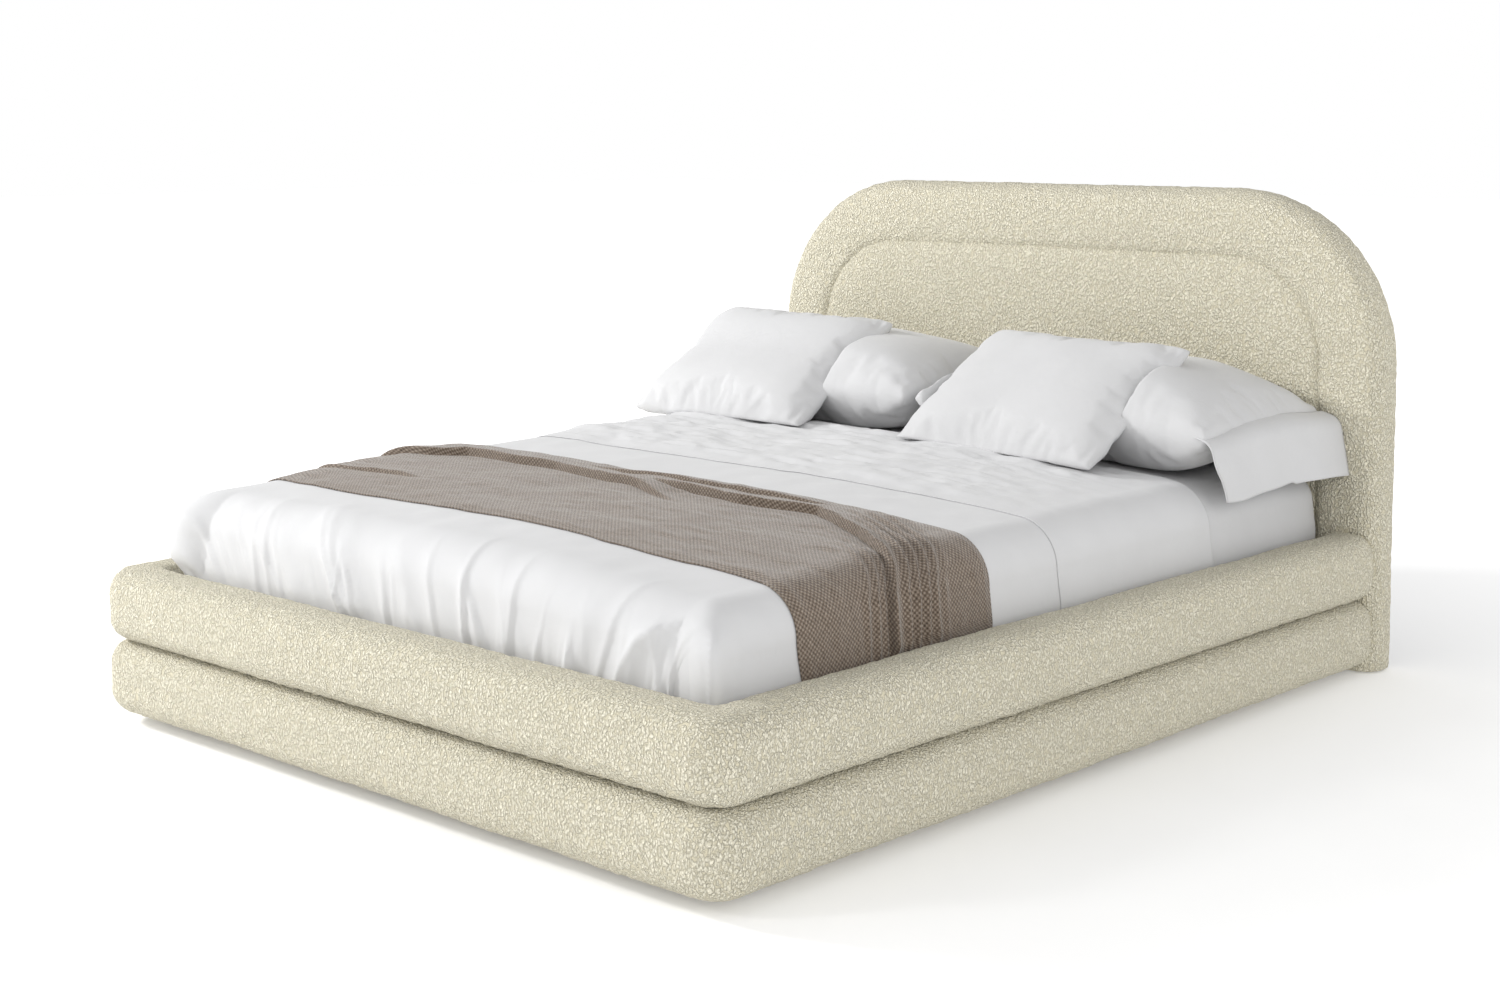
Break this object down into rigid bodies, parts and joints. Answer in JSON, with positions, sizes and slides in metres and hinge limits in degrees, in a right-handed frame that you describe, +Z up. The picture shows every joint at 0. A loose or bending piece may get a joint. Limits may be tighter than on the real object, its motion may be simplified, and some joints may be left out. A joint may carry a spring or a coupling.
{
  "type": "upholstered headboard bed",
  "caption": "Low upholstered bed with an arched padded headboard, stacked padded rails, slatted base, mattress, bedding, throw and loose pillows.",
  "frame": {"origin": "on the floor, under the middle of the bed", "axes": "+X across the width, +Y from the foot to the headboard, +Z up"},
  "size_m": [1.81, 2.282, 1.105],
  "materials": {
    "boucle": "matte",
    "black_cloth": "matte",
    "plywood": "matte",
    "pine": "matte",
    "black_steel": "satin",
    "zinc": "satin",
    "black_plastic": "matte",
    "ticking": "matte",
    "white_cotton": "matte",
    "taupe_weave": "matte",
    "pillow_filling": "matte"
  },
  "bodies": {
    "frame": {"beam_bracket_foot": "black_steel", "beam_bracket_head": "black_steel", "center_beam": "pine", "center_leg_1": "black_steel", "center_leg_2": "black_steel", "center_leg_3": "black_steel", "center_leg_glides": "black_plastic", "corner_bolts": "zinc", "corner_bracket_left": "black_steel", "corner_bracket_right": "black_steel", "headboard_back_cover": "black_cloth", "headboard_bolts": "zinc", "headboard_border_pad": "boucle", "headboard_bracket_left": "black_steel", "headboard_bracket_right": "black_steel", "headboard_center_pad": "boucle", "headboard_cross_rail_bottom": "pine", "headboard_cross_rail_top": "pine", "headboard_glides": "black_plastic", "headboard_panel": "plywood", "headboard_post_left": "pine", "headboard_post_right": "pine", "lining_foot": "black_cloth", "lining_left": "black_cloth", "lining_right": "black_cloth", "lower_pad_foot": "boucle", "lower_pad_left": "boucle", "lower_pad_right": "boucle", "rail_board_foot": "plywood", "rail_board_left": "plywood", "rail_board_right": "plywood", "rail_feet": "black_plastic", "slat_01": "pine", "slat_02": "pine", "slat_03": "pine", "slat_04": "pine", "slat_05": "pine", "slat_06": "pine", "slat_07": "pine", "slat_08": "pine", "slat_09": "pine", "slat_10": "pine", "slat_ledge_left": "pine", "slat_ledge_right": "pine", "upper_pad_foot": "boucle", "upper_pad_left": "boucle", "upper_pad_right": "boucle"},
    "mattress": {"mattress": "ticking", "fitted_sheet": "white_cotton", "top_cover": "white_cotton", "throw": "taupe_weave"},
    "back_left_pillow": {"pillow_back_left": "pillow_filling", "pillowcase_back_left": "white_cotton"},
    "back_right_pillow": {"pillow_back_right": "pillow_filling", "pillowcase_back_right": "white_cotton"},
    "front_left_pillow": {"pillow_front_left": "pillow_filling", "pillowcase_front_left": "white_cotton"},
    "front_right_pillow": {"pillow_front_right": "pillow_filling", "pillowcase_front_right": "white_cotton"}
  },
  "joints": [
    {"name": "mattress_lift", "type": "slide", "parent": "frame", "child": "mattress", "axis": [0, 0, 1], "range_m": [0, 0.3]},
    {"name": "back_left_pillow_lift", "type": "slide", "parent": "mattress", "child": "back_left_pillow", "axis": [0, 0, 1], "range_m": [0, 0.3]},
    {"name": "back_right_pillow_lift", "type": "slide", "parent": "mattress", "child": "back_right_pillow", "axis": [0, 0, 1], "range_m": [0, 0.3]},
    {"name": "front_left_pillow_lift", "type": "slide", "parent": "back_left_pillow", "child": "front_left_pillow", "axis": [0, 0, 1], "range_m": [0, 0.3]},
    {"name": "front_right_pillow_lift", "type": "slide", "parent": "back_right_pillow", "child": "front_right_pillow", "axis": [0, 0, 1], "range_m": [0, 0.3]}
  ]
}
